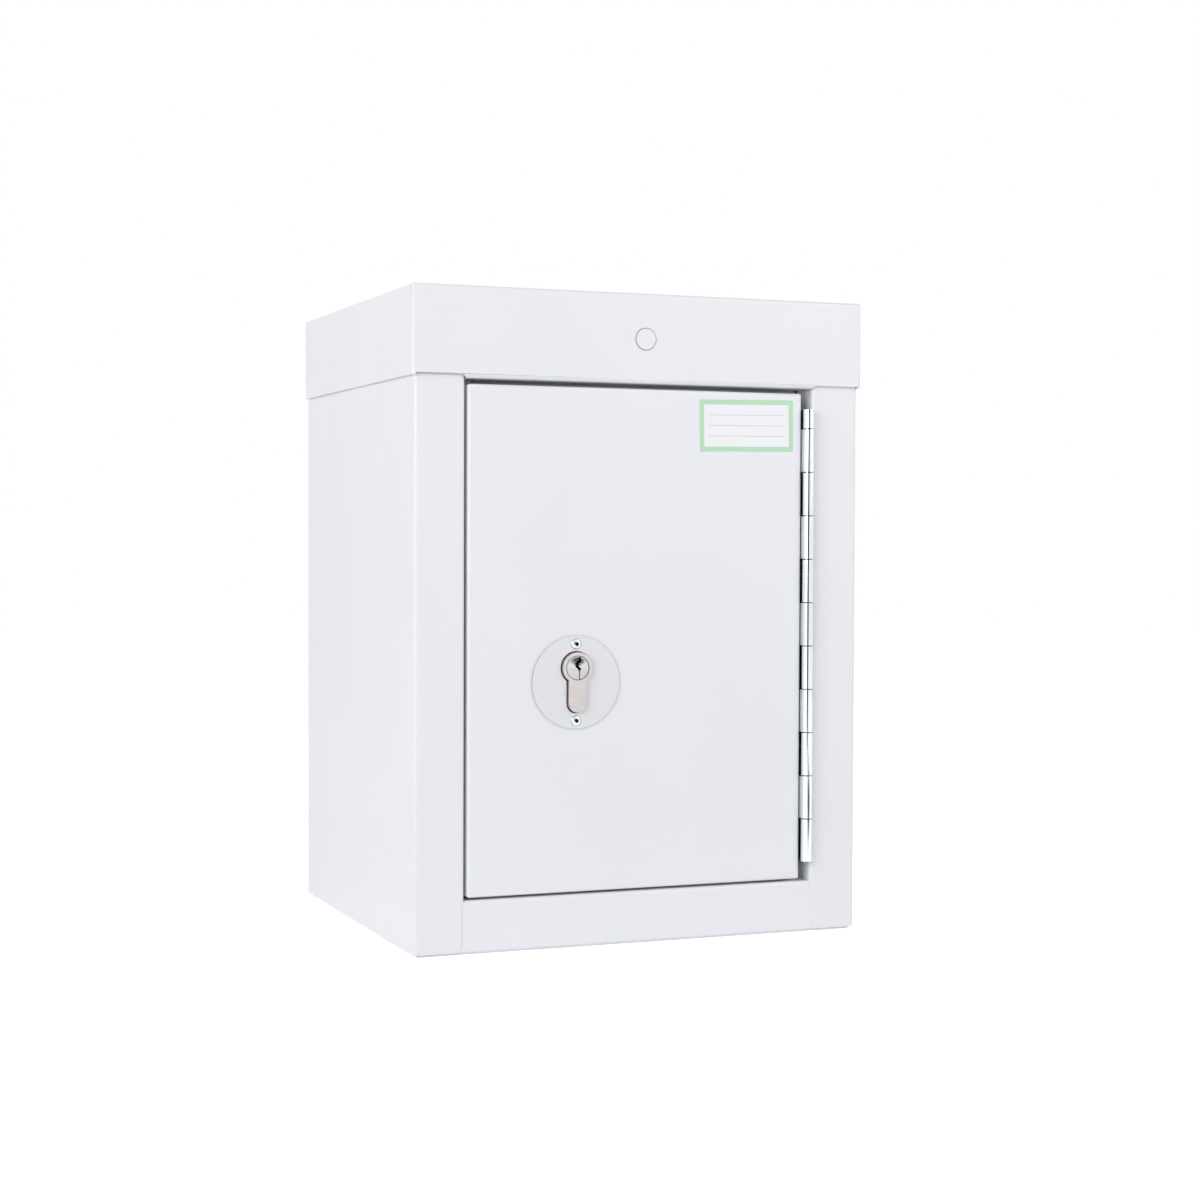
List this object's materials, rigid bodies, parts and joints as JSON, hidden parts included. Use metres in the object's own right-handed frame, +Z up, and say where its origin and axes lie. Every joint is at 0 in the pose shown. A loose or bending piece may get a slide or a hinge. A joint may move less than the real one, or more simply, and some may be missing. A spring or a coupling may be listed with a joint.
{
  "type": "lockable medicine cabinet",
  "caption": "Small white steel wall cabinet with an inner shelf and a flush tray door on a continuous hinge, locked by a key cylinder that throws a deadbolt behind the stile.",
  "frame": {"origin": "centre of the cabinet's whole box, on the surface that its base stands on", "axes": "+Z up, -Y out of the door's front face, +Y to the wall, +X to the hinged side of the door"},
  "size_m": [0.2686, 0.2343, 0.36],
  "materials": {
    "paint": "white powder coat, satin, fine orange peel",
    "plate": "off-white powder coat, satin",
    "zinc": "bright zinc plate",
    "steel": "ground and hardened steel",
    "nickel": "satin nickel plate",
    "brass": "turned brass",
    "label": "laminated paper sticker with a pale green border"
  },
  "bodies": {
    "cabinet": {"left_side_panel": "paint", "right_side_panel": "paint", "back_panel": "paint", "base_panel": "paint", "ceiling_panel": "paint", "top_cap": "paint", "blanking_plug": "paint", "top_stop_strip": "paint", "cap_screws": "zinc", "cap_clinch_nuts": "zinc", "left_shelf_angle": "paint", "right_shelf_angle": "paint", "shelf": "paint", "keep_bracket": "zinc", "keep_screws": "zinc", "hinge_frame_leaf": "zinc", "hinge_pin": "zinc"},
    "door": {"door_skin": "paint", "door_inner_pan": "paint", "hinge_door_leaf": "zinc", "door_label": "label", "lock_plate": "plate", "plate_rivets": "zinc", "lock_case": "zinc", "lock_case_cover": "zinc", "cover_screws": "zinc", "case_fixing_screws": "zinc", "case_clinch_nuts": "zinc", "bolt_guide_studs": "steel", "detent_spring": "steel", "spring_rivet": "steel", "cylinder_body": "nickel", "cylinder_fixing_screw": "zinc", "driver_pins": "brass", "pin_springs": "steel", "chamber_plugs": "brass"},
    "lock_plug": {"cylinder_plug": "nickel", "key_pins": "brass", "cylinder_cam": "steel", "plug_clip": "steel"},
    "deadbolt": {"deadbolt": "steel"}
  },
  "joints": [
    {"name": "door_hinge", "type": "hinge", "parent": "cabinet", "child": "door", "pos_m": [0.1007, -0.11385, 0.17], "axis": [0, 0, 1], "range_deg": [0, 180]},
    {"name": "plug_turn", "type": "hinge", "parent": "door", "child": "lock_plug", "pos_m": [-0.0402, -0.11535, 0.154], "axis": [0, -1, 0], "range_deg": [0, 90]},
    {"name": "bolt_slide", "type": "slide", "parent": "door", "child": "deadbolt", "axis": [-1, 0, 0], "range_m": [0, 0.015]}
  ],
  "couplings": [
    {"joint": "plug_turn", "follows": "bolt_slide", "rad_per_m": 104.72}
  ]
}
